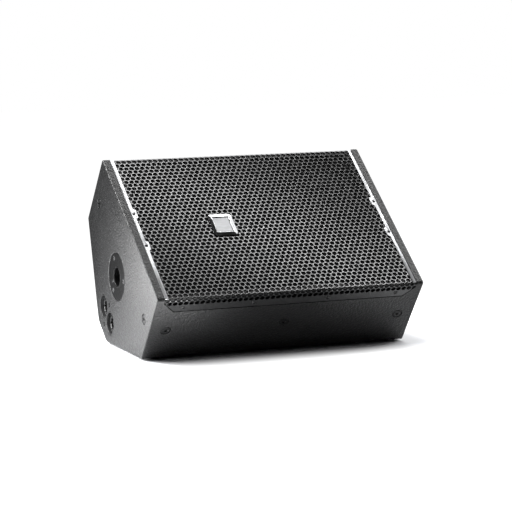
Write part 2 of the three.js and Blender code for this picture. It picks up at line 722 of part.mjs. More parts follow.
function hornAndDriver() {
  const diaphragm = [0, 1, 2, 3].map((k) => {
    const angle = (k * Math.PI) / 6.6;
    return [24 * Math.sin(angle), -136.5 + 7 * Math.cos(angle)];
  });
  const dome = [...diaphragm, [29, -135.8], [29, -136.5]];
  const under = diaphragm.map(([r, z]) => [r, z - 0.7]).reverse();
  return group(
    [HORN_X, HORN_Y, BAFFLE_FRONT + GAP], [0, 0, 0],
    piece('horn', horn(), blackPlastic),
    piece('compression_driver', turned([
      [12.5, -111.3], [45, -111.3], [45, -138], [31, -138], [31, -133], [26, -133],
      [20, -126.5], [12.5, -125.5],
    ]), blackSteel),
    piece('driver_diaphragm', turned([...dome, ...under]), brushedAluminium),
    piece('driver_rear_cap', turned([
      [0, -158], [40, -158], [45, -153], [45, -138.3], [31.5, -138.3], [31.5, -152], [0, -152],
    ]), blackPlastic),
  );
}

function ports() {
  const profile = [
    [PORT_RADIUS - 3, -105], [PORT_RADIUS, -105], [PORT_RADIUS, 0], [PORT_RADIUS + 6, 0],
    [PORT_RADIUS + 6, 1.5], [PORT_RADIUS + 2, 2.5], [PORT_RADIUS - 3, -2.5],
  ];
  return PORT_X.map((x, i) => {
    const place = [x, PORT_Y, BAFFLE_FRONT + GAP];
    return piece(`port_tube_${i + 1}`, turned(profile), blackPlastic, place);
  });
}

// Wadding behind the woofer, lying on the inside of the rear panel.
function dampingPad() {
  const middle = [(HALF_FACE + BACK_HALF) / 2, -(SIDE_DEPTH + DEPTH) / 2];
  const pad = slab(roundedRectangle(270, 150, 12), PLY + 0.6, PLY + 26);
  return group([WOOFER_X - 10, ...middle], [REST_ANGLE, 0, 0], piece('damping_pad', pad, wadding));
}

// ---------------------------------------------------------------- parts that lie level
// The floor panel is level once the cabinet rests on its floor facet.
const FLOOR_OUTSIDE = FOOT_HEIGHT + GAP;
const FLOOR_INSIDE = FLOOR_OUTSIDE + PLY;

function crossover(y) {
  const board = box([-70, -45, FLOOR_INSIDE + 6], [70, 45, FLOOR_INSIDE + 7.6]);
  const legs = [[-62, -38], [62, -38], [62, 38], [-62, 38]].map(([x, legY]) =>
    rod(4, FLOOR_INSIDE + GAP, FLOOR_INSIDE + 7, 16).translate(x, legY, 0));
  const top = FLOOR_INSIDE + 7.9;
  const coil = turned([
    [9, top], [22, top], [22, top + 2], [19, top + 3], [19, top + 19], [22, top + 20],
    [22, top + 22], [9, top + 22],
  ]);
  const can = new THREE.CapsuleGeometry(11, 26, 3, 16).rotateZ(Math.PI / 2);
  return group(
    [HORN_X, y, 0], [0, 0, 0],
    piece('crossover_board', join(board, ...legs), circuitBoard),
    piece('crossover_inductor', coil, copper, [-34, 0, 0]),
    piece('crossover_capacitor', can, blackPlastic, [30, 12, top + 11]),
  );
}

function feet(front, back) {
  const profile = [
    [0, 0], [FOOT_RADIUS - 1, 0], [FOOT_RADIUS, 1], [FOOT_RADIUS, FOOT_HEIGHT], [0, FOOT_HEIGHT],
  ];
  const places = [[-1, front], [1, front], [1, back], [-1, back]];
  return places.map(([side, y], i) => {
    const place = [side * (HALF_LENGTH - FOOT_INSET - 10), y, 0];
    return piece(`rubber_foot_${i + 1}`, turned(profile, 20), rubber, place);
  });
}

// ---------------------------------------------------------------- assembly
// Height of the grille's centre above the floor facet, and the reach of the outline to the
// front and the back of that centre, with the cabinet resting on its floor facet.
const sine = Math.sin(REST_ANGLE);
const cosine = Math.cos(REST_ANGLE);
const CENTRE_HEIGHT = FLOOR_OUTSIDE + HALF_FACE * sine + SIDE_DEPTH * cosine;

function outlineReach() {
  const points = OUTLINE.flatMap((_, i) => cornerArc(OUTLINE, i));
  const reach = points.map(([y, z]) => y * cosine - z * sine);
  return [Math.min(...reach), Math.max(...reach)];
}

const [REACH_FRONT, REACH_BACK] = outlineReach();
const CENTRE_Y = -(REACH_FRONT + REACH_BACK) / 2;
const FACET_FRONT = CENTRE_Y - HALF_FACE * cosine + SIDE_DEPTH * sine;
const FACET_BACK = CENTRE_Y - BACK_HALF * cosine + DEPTH * sine;

const monitor = new THREE.Group();
monitor.add(
  group(
    [0, CENTRE_Y, CENTRE_HEIGHT], [REST_ANGLE, 0, 0],
    ...cabinet(),
    ...grille(),
    badge(),
    poleSocket(),
    inputDish(),
    ...m10Screws(),
    handle(),
    woofer(),
    hornAndDriver(),
    ...ports(),
    dampingPad(),
  ),
  crossover((FACET_FRONT + FACET_BACK) / 2),
  ...feet(FACET_FRONT + FOOT_INSET, FACET_BACK - FOOT_INSET),
);

export default monitor;
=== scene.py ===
"""Stage monitor wedge: the looks around its CAD frame. Metres, +Z up, the grille slopes towards -Y.

Shapes are drawn in the cabinet's own axes: x along the length, u up the slope of the grille and
n out of the grille face, whose outer surface is n = 0. Lengths are in millimetres unless they
are marked m; the factor MM turns them into the frame's metres.
"""
import json
import math

import bmesh
import bpy
from mathutils import Matrix, Vector


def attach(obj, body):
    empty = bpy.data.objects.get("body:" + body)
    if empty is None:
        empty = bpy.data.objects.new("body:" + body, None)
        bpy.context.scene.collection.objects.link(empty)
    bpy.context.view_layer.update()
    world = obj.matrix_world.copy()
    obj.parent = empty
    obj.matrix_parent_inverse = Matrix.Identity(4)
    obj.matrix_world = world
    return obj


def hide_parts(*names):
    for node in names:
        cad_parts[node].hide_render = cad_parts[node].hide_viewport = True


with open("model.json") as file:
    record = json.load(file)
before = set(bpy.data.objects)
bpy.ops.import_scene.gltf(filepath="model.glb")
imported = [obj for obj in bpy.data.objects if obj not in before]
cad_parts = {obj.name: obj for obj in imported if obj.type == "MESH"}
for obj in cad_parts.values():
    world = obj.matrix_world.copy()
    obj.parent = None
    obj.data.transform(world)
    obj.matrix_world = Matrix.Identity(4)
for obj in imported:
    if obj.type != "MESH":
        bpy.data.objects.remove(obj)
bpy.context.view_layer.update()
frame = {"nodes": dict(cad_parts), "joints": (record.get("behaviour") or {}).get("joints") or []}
scene = bpy.context.scene

# ---------------------------------------------------------------- cabinet axes, from the frame
MM = 0.001
ALONG = Vector((1, 0, 0))
OUT = Vector(next(j for j in frame["joints"] if j["name"] == "badge_turn")["axis"]).normalized()
UP_SLOPE = OUT.cross(ALONG)


def span(node, direction):
    """Lowest and highest reach of a CAD node along a direction, in millimetres."""
    values = [v.co.dot(direction) / MM for v in frame["nodes"][node].data.vertices]
    return min(values), max(values)


def middle(node, direction):
    """Middle of a CAD node along a direction, in millimetres."""
    low, high = span(node, direction)
    return (low + high) / 2


FACE_MIDDLE = middle("end_panel_left", UP_SLOPE)
FACE_LEVEL = span("grille", OUT)[1]
ORIGIN = (UP_SLOPE * FACE_MIDDLE + OUT * FACE_LEVEL) * MM
CABINET = Matrix.Translation(ORIGIN) @ Matrix((ALONG, UP_SLOPE, OUT)).transposed().to_4x4()


def at(x, u, n):
    """Place in the frame, m, of a point in the cabinet's axes."""
    return CABINET @ (Vector((x, u, n)) * MM)


def local(node):
    """Centre of a CAD node in the cabinet's axes, in millimetres."""
    return Vector((middle(node, ALONG), middle(node, UP_SLOPE) - FACE_MIDDLE,
                   middle(node, OUT) - FACE_LEVEL))


# ---------------------------------------------------------------- driving dimensions
HALF_LENGTH = span("end_panel_right", ALONG)[1]
INNER_HALF = span("end_panel_right", ALONG)[0]
PLY = HALF_LENGTH - INNER_HALF
HALF_FACE = span("end_panel_left", UP_SLOPE)[1] - FACE_MIDDLE
PROUD = span("end_panel_left", OUT)[1] - FACE_LEVEL    # of the end panels, over the grille
DEPTH = FACE_LEVEL - span("end_panel_left", OUT)[0]
SIDE_DEPTH = 158   # from the grille's face to the far edge of the side walls
REST_ANGLE = math.atan2(-OUT.y, OUT.z)    # of the grille, from the floor
BACK_HALF = HALF_FACE - (DEPTH - SIDE_DEPTH) / math.tan(REST_ANGLE)
ARRIS = 3          # rounding between an end face and the cabinet's walls
CORNER = 6         # rounding of the front and side corners of the outline
BACK_RADIUS = 28   # rounding of the two corners at the back
OUTLINE = [        # corner (u, n), its radius
    ((HALF_FACE, PROUD), CORNER), ((-HALF_FACE, PROUD), CORNER),
    ((-HALF_FACE, -SIDE_DEPTH), CORNER), ((-BACK_HALF, -DEPTH), BACK_RADIUS),
    ((BACK_HALF, -DEPTH), BACK_RADIUS), ((HALF_FACE, -SIDE_DEPTH), CORNER),
]

SHEET = 1.3        # grille steel
PITCH = 11.1125    # staggered perforation
HOLE = 4.98        # hole radius
ROW = PITCH * math.sqrt(3) / 2
TOP_ROW = 187.9    # highest row of holes, up the slope
ROWS = 42          # the last two lie on the lower bend and its flange
ROW_PHASE = -246.35 + 22 * PITCH    # x of a hole in the top row
GRILLE_HALF = span("grille", ALONG)[1]
FLANGE = 31        # reach of the flanges behind the face
FLANGE_CORNER = 8  # cut off the ends of a flange
FLANGE_SCREWS = [-222.5, -77, 77, 222.5]
FLANGE_SCREW_DEPTH = 21.5     # below the face
TOP_BEND = 6       # outer radius
TOP_FLAT = HALF_FACE - TOP_BEND
TOP_END = TOP_FLAT + TOP_BEND * math.pi / 2    # end of the bend, along the sheet
TOP_STRIPS = [TOP_FLAT + 1.9, *(TOP_FLAT + TOP_BEND * math.pi / 2 * k / 5 for k in range(2, 6)),
              TOP_END + FLANGE - TOP_BEND]
LOWER_BEND = 4     # outer radius
LOWER_FLAT = HALF_FACE - LOWER_BEND
LOWER_END = LOWER_FLAT + LOWER_BEND * math.pi / 2
BOTTOM_STRIPS = [-(LOWER_END + FLANGE - LOWER_BEND)]
FOAM_FRONT = -1.9  # mean level of the foam's face, behind the perforated sheet
FOAM_WAVE = 0.1225
FOAM_EDGE = (5, 1.6)          # width of the rounding along the foam's edges and its drop
SEAT = 2           # the side walls end this far below the grille's face
POCKET = 4.5       # depth of the pocket that a flange lies over
POCKET_MARGIN = 2  # gap between the pocket's edge and the flange
HOLE_SLOT = (3, 14, 9)        # hollow behind a flange's row of holes: from, to and how deep
HOLE_SLOT_REACH = 0.985       # of the grille's length

M10_RADIUS = 9     # of the plug
M10_GAP = 1.1      # round the plug of a suspension point
SIDE_M10 = [(local(f"m10_screw_front_{i}").x, -local("m10_screw_front_1").z) for i in (1, 2, 3)]
END_M10 = [(local(f"m10_screw_left_{i}").y, -local(f"m10_screw_left_{i}").z) for i in (1, 2)]
POLE = local("pole_socket")
POLE_PLATE = 47    # radius of the flange
POLE_PLATE_SINK = 3.2
POLE_BORE = 18.2   # radius of the bore, which takes a stand pole
POLE_DEPTH = 82
POLE_HOLE = 24     # radius of the hole for the tube
POLE_SCREWS = [local(f"pole_socket_screw_{i}") for i in (1, 2, 3)]
SOCKETS = [local(f"speaker_socket_{i}") for i in (1, 2)]
SOCKET_OPENING = 24.5         # radius
DISH_SCREWS = [local(f"input_dish_screw_{i}") for i in (1, 2)]
DISH_SCREW_HOLE = 4.4         # radius
HANDLE = local("handle_cup")
HANDLE_SIZE = (150, 88)
HANDLE_CUTS = ((27, 20, 3.2), (5.6, 14, PLY + 5))    # margin, corner radius and depth of each
HANDLE_SCREW = (77, 46)       # from the middle of the handle to each screw
BADGE_PAINTED_SHADE = (17.6, 21.6)   # half sizes of the painted shade round the badge's plate: a black, matte band where the gap beside the plate lies in shadow

# ---------------------------------------------------------------- camera and lights
CAMERA_OFFSET = Vector((-1.747, -4.162, 0.813))   # from the middle of the lower front edge, m
CAMERA_YAW, CAMERA_PITCH, CAMERA_ROLL = 22.31, -7.93, -0.29
CAMERA_LENS = 164.03
FLOOR_HALF = 6     # m
FOOTPRINT = 115    # half the depth of the facet on the floor
FLOOR_WHITE = (0.02, 0.13)    # m from the cabinet over which it turns white for the camera
FLOOR_DARK = (0.10, 0.55)     # m from the cabinet over which it reflects less light
WORLD_LIGHT = 0.015
LIGHTS = [
    # name, place, aimed at, direction of the long side, (long side, short side), watts; metres
    ("strip", (0.715, 0.18, 2.0), (0.715, 0.18, 0.0), (0.909, -0.417, 0), (1.3, 0.12), 8.0),
    ("overhead", (0.608, -0.10, 2.0), (0.608, -0.10, 0.0), (0.909, -0.417, 0), (1.25, 0.5), 1.6),
    ("back_top", (1.0, 1.7, 2.2), (0.3, 0.0, 0.0), (1, 0, 0), (2.4, 1.2), 42),
    ("right_wall", (3.0, 0.4, 1.9), (0.0, 0.4, 0.8), (0, 1, 0), (3.0, 3.0), 34),
    ("low_left", (-0.50, 0.04, 0.14), (-0.27, -0.10, 0.12), (0, 0, 1), (0.2, 0.2), 2.3),
    ("left_top", (-0.80, 0.32, 0.85), (-0.27, 0.08, 0.30), (0, 1, 0), (0.3, 0.3), 14.0),
    ("front_top", (-0.3, -1.1, 1.9), (0.0, 0.0, 0.2), (1, 0, 0), (0.8, 0.5), 4.5),
    ("right_fill", (1.3, 0.15, 0.7), (0.27, 0.0, 0.15), (0, 1, 0), (0.6, 0.6), 7.0),
    ("glow_left", (-0.24, -0.275, 0.01), (-0.24, -0.275, 1.0), (1, 0, 0), (0.16, 0.08), 0.44),
    ("glow_right", (0.20, -0.275, 0.01), (0.20, -0.275, 1.0), (1, 0, 0), (0.16, 0.08), 0.10),
]


# ---------------------------------------------------------------- node trees
class Tree:
    """A material's node tree, with one short call for each kind of node."""

    def __init__(self, name):
        self.material = bpy.data.materials.new(name)
        self.material.use_nodes = True
        self.nodes = self.material.node_tree.nodes
        self.links = self.material.node_tree.links
        self.shader = self.nodes["Principled BSDF"]
        self.coords = self.nodes.new("ShaderNodeTexCoord").outputs["Object"]

    def feed(self, socket, value):
        """Links an output to an input socket, or gives the socket a fixed value."""
        if isinstance(value, bpy.types.NodeSocket):
            self.links.new(value, socket)
        elif socket.type == "RGBA":
            socket.default_value = (*value, 1)
        else:
            socket.default_value = value

    def set(self, node, **values):
        """Feeds inputs by name, with _ for a space."""
        for key, value in values.items():
            self.feed(node.inputs[key.replace("_", " ")], value)

    def noise(self, size, detail=3.0, roughness=0.5, distortion=0.0, vector=None):
        """Noise whose features are about size millimetres across."""
        node = self.nodes.new("ShaderNodeTexNoise")
        self.set(node, Vector=vector or self.coords, Scale=1 / (size * MM), Detail=detail,
                 Roughness=roughness, Distortion=distortion)
        return node.outputs["Fac"]

    def cells(self, size, feature="SMOOTH_F1", randomness=1.0):
        node = self.nodes.new("ShaderNodeTexVoronoi")
        node.feature = feature
        self.set(node, Vector=self.coords, Scale=1 / (size * MM), Randomness=randomness)
        return node.outputs["Distance"]

    def wave(self, size, axis):
        """Light and dark bands, each size millimetres wide, along an axis."""
        node = self.nodes.new("ShaderNodeTexWave")
        node.bands_direction = axis
        self.set(node, Vector=self.coords, Scale=1 / (size * MM) / 20 * math.pi)
        return node.outputs["Fac"]

    def stretched(self, x, y, z, turn=(0.0, 0.0, 0.0)):
        """Object coordinates, turned and then scaled, for grain that runs one way."""
        node = self.nodes.new("ShaderNodeMapping")
        node.vector_type = "TEXTURE"
        self.set(node, Vector=self.coords, Rotation=turn, Scale=(x, y, z))
        return node.outputs["Vector"]

    def remap(self, value, low, high, to_low=0.0, to_high=1.0):
        node = self.nodes.new("ShaderNodeMapRange")
        node.interpolation_type = "SMOOTHSTEP"
        self.set(node, Value=value, From_Min=low, From_Max=high, To_Min=to_low, To_Max=to_high)
        return node.outputs["Result"]

    def math(self, operation, a, b=0.0):
        node = self.nodes.new("ShaderNodeMath")
        node.operation = operation
        for socket, value in zip(node.inputs, (a, b)):
            self.feed(socket, value)
        return node.outputs["Value"]

    def mix(self, factor, a, b):
        """Colour a where factor is 0 and colour b where it is 1."""
        node = self.nodes.new("ShaderNodeMix")
        node.data_type = "RGBA"
        for index, value in ((0, factor), (6, a), (7, b)):
            self.feed(node.inputs[index], value)
        return node.outputs[2]

    def bump(self, height, depth, strength, under=None):
        """Bump of a height field, depth millimetres from its lowest to its highest level."""
        node = self.nodes.new("ShaderNodeBump")
        self.set(node, Height=height, Distance=depth * MM, Strength=strength)
        if under is not None:
            self.links.new(under, node.inputs["Normal"])
        return node.outputs["Normal"]

    def vector(self, operation, a, b=(0.0, 0.0, 0.0), output="Vector"):
        node = self.nodes.new("ShaderNodeVectorMath")
        node.operation = operation
        for socket, value in zip(node.inputs, (a, b)):
            self.feed(socket, value)
        return node.outputs[output]

    def distance_from_box(self, half):
        """Distance from a box round the origin, from its half sizes in metres."""
        beyond = self.vector("SUBTRACT", self.vector("ABSOLUTE", self.coords), half)
        return self.vector("LENGTH", self.vector("MAXIMUM", beyond), output="Value")

    def pointed(self):
        """How sharply the surface turns outwards, 0.5 where it is flat."""
        return self.nodes.new("ShaderNodeNewGeometry").outputs["Pointiness"]

    def finish(self, **values):
        self.set(self.shader, **values)
        return self.material


def grey(value):
    """Faintly bluish grey."""
    return (value, value * 1.01, value * 1.03)


def cabinet_paint():
    """Sprayed textured coating: pebbled, slightly glossy on the grains, with faint scuffs."""
    t = Tree("textured_paint")
    pebble = t.cells(3.8)
    grain = t.noise(1.3, 4)
    cloud = t.noise(45, 3)
    height = t.math("SUBTRACT", t.math("MULTIPLY", grain, 0.55), pebble)
    scuff = t.remap(t.noise(30, 6, 0.7, 1.4, t.stretched(1, 3, 0.6)), 0.66, 0.72)
    base = t.mix(cloud, grey(0.012), grey(0.018))
    base = t.mix(t.math("MULTIPLY", scuff, 0.35), base, grey(0.06))
    roughness = t.remap(t.noise(3.5, 5), 0.3, 0.7, 0.36, 0.52)
    waves = t.bump(t.noise(7, 3), 0.8, 0.6)
    return t.finish(Base_Color=base, Roughness=roughness,
                    Normal=t.bump(height, 1.4, 0.9, waves))


def grille_coat():
    """Semi-gloss powder coat on the perforated steel."""
    t = Tree("grille_powder_coat")
    peel = t.noise(1.4, 2)
    chip = t.remap(t.noise(5, 6, 0.7), 0.70, 0.74)
    base = t.mix(t.math("MULTIPLY", chip, 0.5), grey(0.018), grey(0.09))
    roughness = t.remap(t.noise(8, 4), 0.3, 0.7, 0.18, 0.27)
    return t.finish(Base_Color=base, Roughness=roughness, Specular_IOR_Level=1.0,
                    Normal=t.bump(peel, 0.10, 0.35))


def foam_cell():
    """Open-cell foam behind the grille."""
    t = Tree("grille_foam")
    pores = t.cells(1.0)
    base = t.mix(t.remap(pores, 0.1, 0.6), grey(0.028), grey(0.012))
    return t.finish(Base_Color=base, Roughness=0.95, Specular_IOR_Level=0.1,
                    Normal=t.bump(t.noise(1.2, 4), 1.0, 0.8, t.bump(t.noise(30, 2), 2.0, 0.4)))


def brushed(name, tone, roughness, run):
    """Bare metal with brushing, stretched by run along the cabinet's axes."""
    t = Tree(name)
    lines = t.noise(1.1, 4, 0.6, 0.0, t.stretched(*run, (-REST_ANGLE, 0.0, 0.0)))
    stain = t.noise(12, 4)
    base = t.mix(t.math("MULTIPLY", stain, t.remap(lines, 0.35, 0.65, 0.6, 1.6)),
                 grey(tone * 0.7), grey(tone * 1.1))
    rough = t.math("ADD", t.remap(lines, 0.3, 0.7, roughness, roughness + 0.08),
                   t.math("MULTIPLY", stain, 0.06))
    return t.finish(Base_Color=base, Metallic=1.0, Roughness=rough,
                    Normal=t.bump(lines, 0.003, 0.15))


def chrome():
    t = Tree("chrome_trim")
    haze = t.noise(9, 5, 0.6)
    return t.finish(Base_Color=grey(0.78), Metallic=1.0,
                    Roughness=t.remap(haze, 0.35, 0.7, 0.06, 0.16),
                    Normal=t.bump(t.noise(3, 2), 0.02, 0.3))


def bezel_chrome():
    """Bright trim, with painted shade: black, matte colour in the recess round the plate, where the
    gap beside it lies in shadow.
    """
    t = Tree("badge_chrome")
    haze = t.noise(9, 5, 0.6)
    centre = (Vector((middle("badge_plate", ALONG), 0, 0))
              + UP_SLOPE * middle("badge_plate", UP_SLOPE)) * MM
    offset = t.vector("SUBTRACT", t.coords, centre)
    # painted shade: inside this box the trim is coloured black and matte instead of chrome
    inside = 1.0
    for axis, half in zip((ALONG, UP_SLOPE), BADGE_PAINTED_SHADE):
        reach = t.math("ABSOLUTE", t.vector("DOT_PRODUCT", offset, axis, "Value"))
        inside = t.math("MULTIPLY", t.math("LESS_THAN", reach, half * MM), inside)
    base = t.mix(inside, grey(0.78), grey(0.008))
    roughness = t.math("MAXIMUM", t.remap(haze, 0.35, 0.7, 0.06, 0.16),
                       t.math("MULTIPLY", inside, 0.6))
    return t.finish(Base_Color=base, Metallic=t.math("SUBTRACT", 1.0, inside), Roughness=roughness,
                    Normal=t.bump(t.noise(3, 2), 0.02, 0.3))


def coated_metal(name, tone, roughness, metal=0.0, size=0.8, gloss=0.5):
    """Painted or plated metal with a fine grain and worn high edges."""
    t = Tree(name)
    wear = t.math("MULTIPLY", t.remap(t.pointed(), 0.53, 0.6), t.remap(t.noise(2, 4), 0.4, 0.6))
    base = t.mix(wear, grey(tone), grey(min(0.5, tone * 3 + 0.12)))
    return t.finish(Base_Color=base, Metallic=metal, Specular_IOR_Level=gloss,
                    Roughness=t.remap(t.noise(5, 4), 0.3, 0.7, roughness, roughness + 0.15),
                    Normal=t.bump(t.noise(size, 3), 0.08, 0.5))


def moulded_plastic(name, tone, roughness):
    """Spark-eroded mould texture."""
    t = Tree(name)
    grain = t.noise(0.5, 3)
    base = t.mix(t.noise(20, 3), grey(tone * 0.85), grey(tone * 1.15))
    return t.finish(Base_Color=base, Normal=t.bump(grain, 0.09, 0.6),
                    Roughness=t.remap(t.noise(4, 3), 0.3, 0.7, roughness, roughness + 0.12))


def rubber():
    t = Tree("rubber")
    base = t.mix(t.noise(6, 4), grey(0.012), grey(0.024))
    return t.finish(Base_Color=base, Roughness=0.82, Specular_IOR_Level=0.3,
                    Normal=t.bump(t.noise(0.7, 3), 0.15, 0.6))


def cone_paper():
    t = Tree("cone_paper")
    fibre = t.noise(0.8, 6, 0.7, 2.0)
    base = t.mix(fibre, grey(0.014), grey(0.045))
    return t.finish(Base_Color=base, Roughness=0.88, Normal=t.bump(fibre, 0.2, 0.7))


def ferrite():
    t = Tree("ferrite")
    base = t.mix(t.noise(2, 5), grey(0.022), grey(0.05))
    return t.finish(Base_Color=base, Roughness=0.6, Normal=t.bump(t.noise(0.9, 4), 0.12, 0.6))


def copper_wire():
    t = Tree("copper_wire")
    # windings: the dark colour in the groove between turns is painted shade, the light one is the
    # copper on their crowns
    turns = t.wave(0.9, "Z")
    base = t.mix(turns, (0.20, 0.07, 0.03), (0.62, 0.26, 0.12))
    return t.finish(Base_Color=base, Metallic=0.9, Roughness=0.32,
                    Normal=t.bump(turns, 0.5, 0.8))


def circuit_board():
    t = Tree("circuit_board")
    track = t.remap(t.cells(5, "F1", 0.4), 0.28, 0.34)
    base = t.mix(track, (0.02, 0.12, 0.05), (0.03, 0.19, 0.08))
    return t.finish(Base_Color=base, Roughness=0.35, Normal=t.bump(track, 0.05, 0.5))


def wadding():
    """Bonded polyester fibre."""
    t = Tree("wadding")
    fibre = t.noise(2.2, 8, 0.75, 3.0)
    base = t.mix(fibre, (0.44, 0.42, 0.37), (0.78, 0.76, 0.70))
    return t.finish(Base_Color=base, Roughness=1.0, Specular_IOR_Level=0.1,
                    Normal=t.bump(fibre, 2.5, 0.9))


PAINT = cabinet_paint()
GRILLE_COAT = grille_coat()
# painted shade: near-black, matte colour on the walls of the grille's holes and the sheet's cut
# edges, where shade falls
HOLE_WALL_SHADE = moulded_plastic("painted_shade_on_hole_walls", 0.008, 0.8)
FOAM = foam_cell()
RAIL_METAL = brushed("rail_metal", 0.55, 0.26, (1, 30, 1))
BADGE_METAL = brushed("badge_plate_metal", 0.31, 0.30, (30, 1, 1))
CHROME = chrome()
BEZEL = bezel_chrome()
BLACK_STEEL = coated_metal("black_steel", 0.010, 0.30, gloss=0.35)
SOCKET_STEEL = coated_metal("socket_steel", 0.005, 0.38, gloss=0.12)
ZINC = coated_metal("zinc_steel", 0.42, 0.26, 0.95)
BASKET = coated_metal("basket_casting", 0.03, 0.45, size=1.6)
PLASTIC = moulded_plastic("black_plastic", 0.016, 0.38)
SOFT_PLASTIC = moulded_plastic("gloss_plastic", 0.012, 0.22)
RUBBER = rubber()
BLACK_PAINT = moulded_plastic("black_board_paint", 0.010, 0.75)
PAPER = cone_paper()
FERRITE = ferrite()
COPPER = copper_wire()
BOARD = circuit_board()
WADDING = wadding()


# ---------------------------------------------------------------- mesh helpers
def plain_piece(name, bm, material):
    """A piece of the cabinet from a bmesh in the frame's metres."""
    mesh = bpy.data.meshes.new(name)
    bm.to_mesh(mesh)
    bm.free()
    piece = bpy.data.objects.new(name, mesh)
    scene.collection.objects.link(piece)
    mesh.materials.append(material)
    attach(piece, "cabinet")
    return piece


def new_piece(name, bm, material, world=CABINET, smooth=40):
    """A shaded piece from a bmesh drawn in millimetres, moved into the frame by world."""
    bmesh.ops.recalc_face_normals(bm, faces=bm.faces)
    bm.transform(world @ Matrix.Diagonal((MM, MM, MM, 1)))
    piece = plain_piece(name, bm, material)
    shade(piece, smooth)
    return piece


def shade(piece, angle=40):
    """Smooth shading that keeps edges over the angle crisp and flat faces flat."""
    mesh = piece.data
    mesh.shade_smooth()
    mesh.set_sharp_from_angle(angle=math.radians(angle))
    normals = piece.modifiers.new("flat faces stay flat", "WEIGHTED_NORMAL")
    normals.keep_sharp = True


def loft(bm, rings, caps=True):
    """Skin through closed rings of equally many points."""
    loops = [[bm.verts.new(p) for p in ring] for ring in rings]
    count = len(rings[0])
    for a, b in zip(loops, loops[1:]):
        for i in range(count):
            j = (i + 1) % count
            bm.faces.new((a[i], a[j], b[j], b[i]))
    if caps:
        bm.faces.new(loops[0])
        bm.faces.new(loops[-1])
    return bm


def clean(bm):
    """Welds points that coincide and drops faces without area."""
    bmesh.ops.remove_doubles(bm, verts=bm.verts, dist=1e-4)
    bmesh.ops.dissolve_degenerate(bm, dist=1e-4, edges=bm.edges)
    return bm


def turned(profile, segments=64):
    """Solid of revolution of (radius, height) points round +Z.

    A profile that doesn't start and end on the axis is closed to a ring.
    """
    rings = []
    for radius, height in profile:
        angles = [2 * math.pi * k / segments for k in range(segments)]
        rings.append([(radius * math.cos(a), radius * math.sin(a), height) for a in angles])
    on_axis = profile[0][0] == 0 and profile[-1][0] == 0
    if not on_axis:
        rings.append(rings[0])
    return clean(loft(bmesh.new(), rings, caps=False))


def arc_points(centre, radius, start, end, steps=6):
    """Points of a profile's round corner; angles in degrees."""
    angles = [math.radians(start + (end - start) * k / steps) for k in range(steps + 1)]
    return [(centre[0] + radius * math.cos(a), centre[1] + radius * math.sin(a)) for a in angles]


def corner_points(outline, inset=0.0, steps=8):
    """Rounded outline, moved inwards by inset, as one list of points for each corner."""
    corners = []
    count = len(outline)
    for i, (corner, radius) in enumerate(outline):
        corner = Vector(corner)
        before = (Vector(outline[i - 1][0]) - corner).normalized()
        after = (Vector(outline[(i + 1) % count][0]) - corner).normalized()
        half = before.angle(after) / 2
        centre = corner + (before + after).normalized() * (radius / math.sin(half))
        reach = centre - corner
        start = reach.project(before) - reach
        end = reach.project(after) - reach
        turn = start.angle_signed(end)
        points = []
        for k in range(steps + 1):
            arm = start.copy()
            arm.rotate(Matrix.Rotation(-turn * k / steps, 2))
            points.append(centre + arm.normalized() * (radius - inset))
        corners.append(points)
    return corners


def rounded_rectangle(width, height, radius):
    x, y = width / 2, height / 2
    corners = [((x, y), radius), ((-x, y), radius), ((-x, -y), radius), ((x, -y), radius)]
    return [(p.x, p.y) for corner in corner_points(corners) for p in corner]


def facing(point, out, up):
    """Matrix that stands a shape drawn round +Z at a point, with +Z along out and +Y along up."""
    out = out.normalized()
    right = up.cross(out).normalized()
    basis = Matrix((right, out.cross(right), out)).transposed().to_4x4()
    return Matrix.Translation(point) @ basis


def on_end(side, u, depth, proud=0.0):
    """Place on an end panel: side is -1 for the connector end, proud is off its outer face."""
    return facing(at(side * (HALF_LENGTH + proud), u, -depth), ALONG * side, UP_SLOPE)


def on_side(side, x, depth, proud=0.0):
    """Place on a side wall: side is -1 for the lower wall."""
    return facing(at(x, side * (HALF_FACE + proud), -depth), UP_SLOPE * side, OUT)


def on_face(x, u, height):
    """Place above the grille's face."""
    return facing(at(x, u, height), OUT, UP_SLOPE)


def carve(piece, cutters):
    """Cuts shapes, given as (bmesh, matrix), out of a piece for good."""
    joined = bmesh.new()
    for bm, world in cutters:
        bmesh.ops.recalc_face_normals(bm, faces=bm.faces)
        bm.transform(world @ Matrix.Diagonal((MM, MM, MM, 1)))
        mesh = bpy.data.meshes.new("cutter")
        bm.to_mesh(mesh)
        bm.free()
        joined.from_mesh(mesh)
        bpy.data.meshes.remove(mesh)
    mesh = bpy.data.meshes.new("cutters")
    joined.to_mesh(mesh)
    joined.free()
    cutter = bpy.data.objects.new("cutters", mesh)
    scene.collection.objects.link(cutter)
    piece.modifiers.clear()
    cut = piece.modifiers.new("cut", "BOOLEAN")
    cut.object = cutter
    cut.solver = "EXACT"
    cut.operation = "DIFFERENCE"
    cut.use_self = True
    graph = bpy.context.evaluated_depsgraph_get()
    result = bpy.data.meshes.new_from_object(piece.evaluated_get(graph))
    piece.modifiers.clear()
    old = piece.data
    piece.data = result
    result.name = piece.name
    bpy.data.meshes.remove(old)
    bpy.data.objects.remove(cutter)
    bpy.data.meshes.remove(mesh)
    shade(piece)


def mouth(radius, depth, flare=1.2, segments=64):
    """Cutter for a round hole whose painted mouth is softly rounded."""
    lip = arc_points((radius + flare, -flare), flare, 90, 180)
    profile = [(0, 3), (radius + flare + 1.5, 3), (radius + flare + 0.6, 0.05), *lip,
               (radius, -depth), (0, -depth)]
    return turned(profile, segments)


